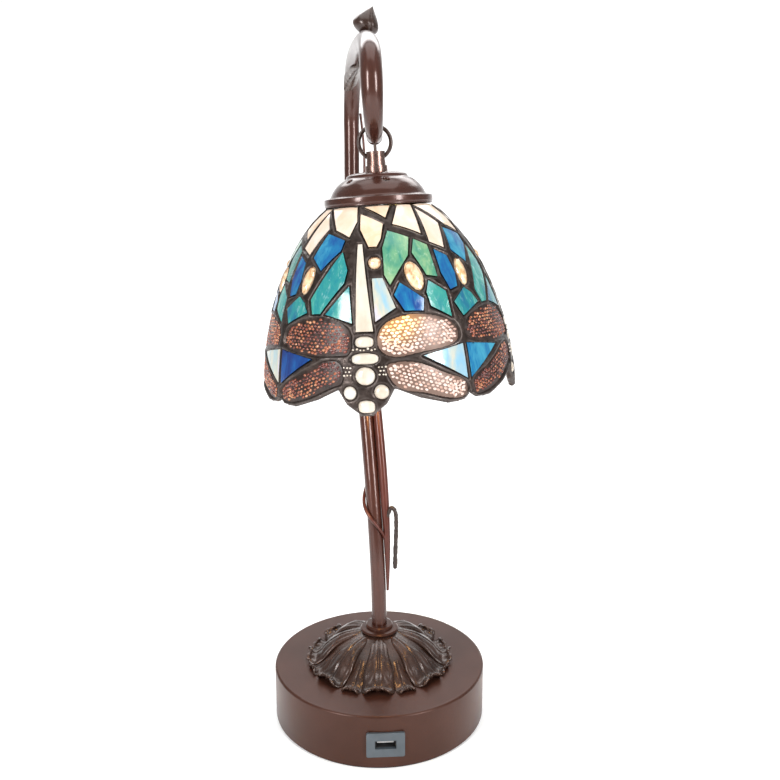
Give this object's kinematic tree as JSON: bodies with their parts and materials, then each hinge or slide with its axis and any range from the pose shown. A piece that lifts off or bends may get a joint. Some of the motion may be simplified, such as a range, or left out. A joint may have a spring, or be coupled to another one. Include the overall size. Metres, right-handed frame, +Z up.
{
  "type": "stained glass table lamp",
  "caption": "Accent table lamp: drum base with a charging port, bent pole with vines, arching hook arm, and a hanging leaded dragonfly glass shade.",
  "frame": {"origin": "centre of the felt pad's underside, on the base drum's axis", "axes": "+Z up, -Y to the front where the shade hangs, +X to the viewer's right"},
  "size_m": [0.1565, 0.2422, 0.4785],
  "materials": {
    "bronze_paint": "satin bronze-brown lacquer",
    "cast_bronze": "cast and lacquered, rubbed on the high spots",
    "cast_iron": "raw casting",
    "zinc_steel": "zinc plated",
    "black_felt": "felt",
    "black_plastic": "moulded",
    "grey_plastic": "moulded, fine texture",
    "brown_cord": "smooth",
    "gilt_contact": "gilt",
    "green_board": "solder mask",
    "dark_patina": "dark patina on solder",
    "brass": "plain brass",
    "bulb_frost": "frosted, lit",
    "cream_glass": "opalescent",
    "blue_glass": "streaky opalescent",
    "teal_glass": "streaky opalescent",
    "green_glass": "streaky opalescent",
    "pearl_glass": "streaky opalescent",
    "white_glass": "opal",
    "wing_glass": "mottled red and amber",
    "amber_glass": "faceted jewel"
  },
  "bodies": {
    "stand": {"base_drum": "bronze_paint", "base_weight": "cast_iron", "bottom_plate": "zinc_steel", "felt_pad": "black_felt", "plate_screws": "zinc_steel", "pole_nut": "zinc_steel", "pole_washer": "zinc_steel", "cord_bushing": "black_plastic", "mains_cord": "brown_cord", "usb_bezel": "grey_plastic", "usb_shell": "zinc_steel", "usb_tongue": "black_plastic", "usb_contacts": "gilt_contact", "usb_board": "green_board", "usb_transformer": "black_plastic", "leaf_rosette": "cast_bronze", "pole_collar": "bronze_paint", "pole": "bronze_paint", "vine_stem": "cast_bronze", "tendril": "cast_bronze", "twig": "cast_bronze", "arm": "bronze_paint", "arm_leaf": "cast_bronze", "finial": "cast_bronze"},
    "ring": {"suspension_ring": "cast_bronze", "shade_cord": "brown_cord"},
    "shade": {"neck": "cast_bronze", "cap": "bronze_paint", "cap_nut": "brass", "nipple": "brass", "shade_spider": "brass", "lampholder": "black_plastic", "bulb_base": "brass", "bulb_glass": "bulb_frost", "cream_panes": "cream_glass", "blue_panes": "blue_glass", "teal_panes": "teal_glass", "green_panes": "green_glass", "pearl_panes": "pearl_glass", "tail_panes": "white_glass", "wing_panes": "wing_glass", "wing_filigree": "dark_patina", "body_beads": "white_glass", "amber_jewels": "amber_glass", "came": "dark_patina"},
    "key": {"switch_key": "black_plastic"}
  },
  "joints": [
    {"name": "ring_swing", "type": "hinge", "parent": "stand", "child": "ring", "pos_m": [-0.0008, -0.085, 0.3991], "axis": [0, 1, 0], "range_deg": [-12, 12]},
    {"name": "shade_tilt", "type": "hinge", "parent": "ring", "child": "shade", "pos_m": [-0.00009, -0.085, 0.38707], "axis": [0.9982, 0, 0.0593], "range_deg": [-12, 12]},
    {"name": "switch_turn", "type": "hinge", "parent": "shade", "child": "key", "pos_m": [0.00241, -0.085, 0.34509], "axis": [0.9982, 0, 0.0593], "continuous": true}
  ]
}
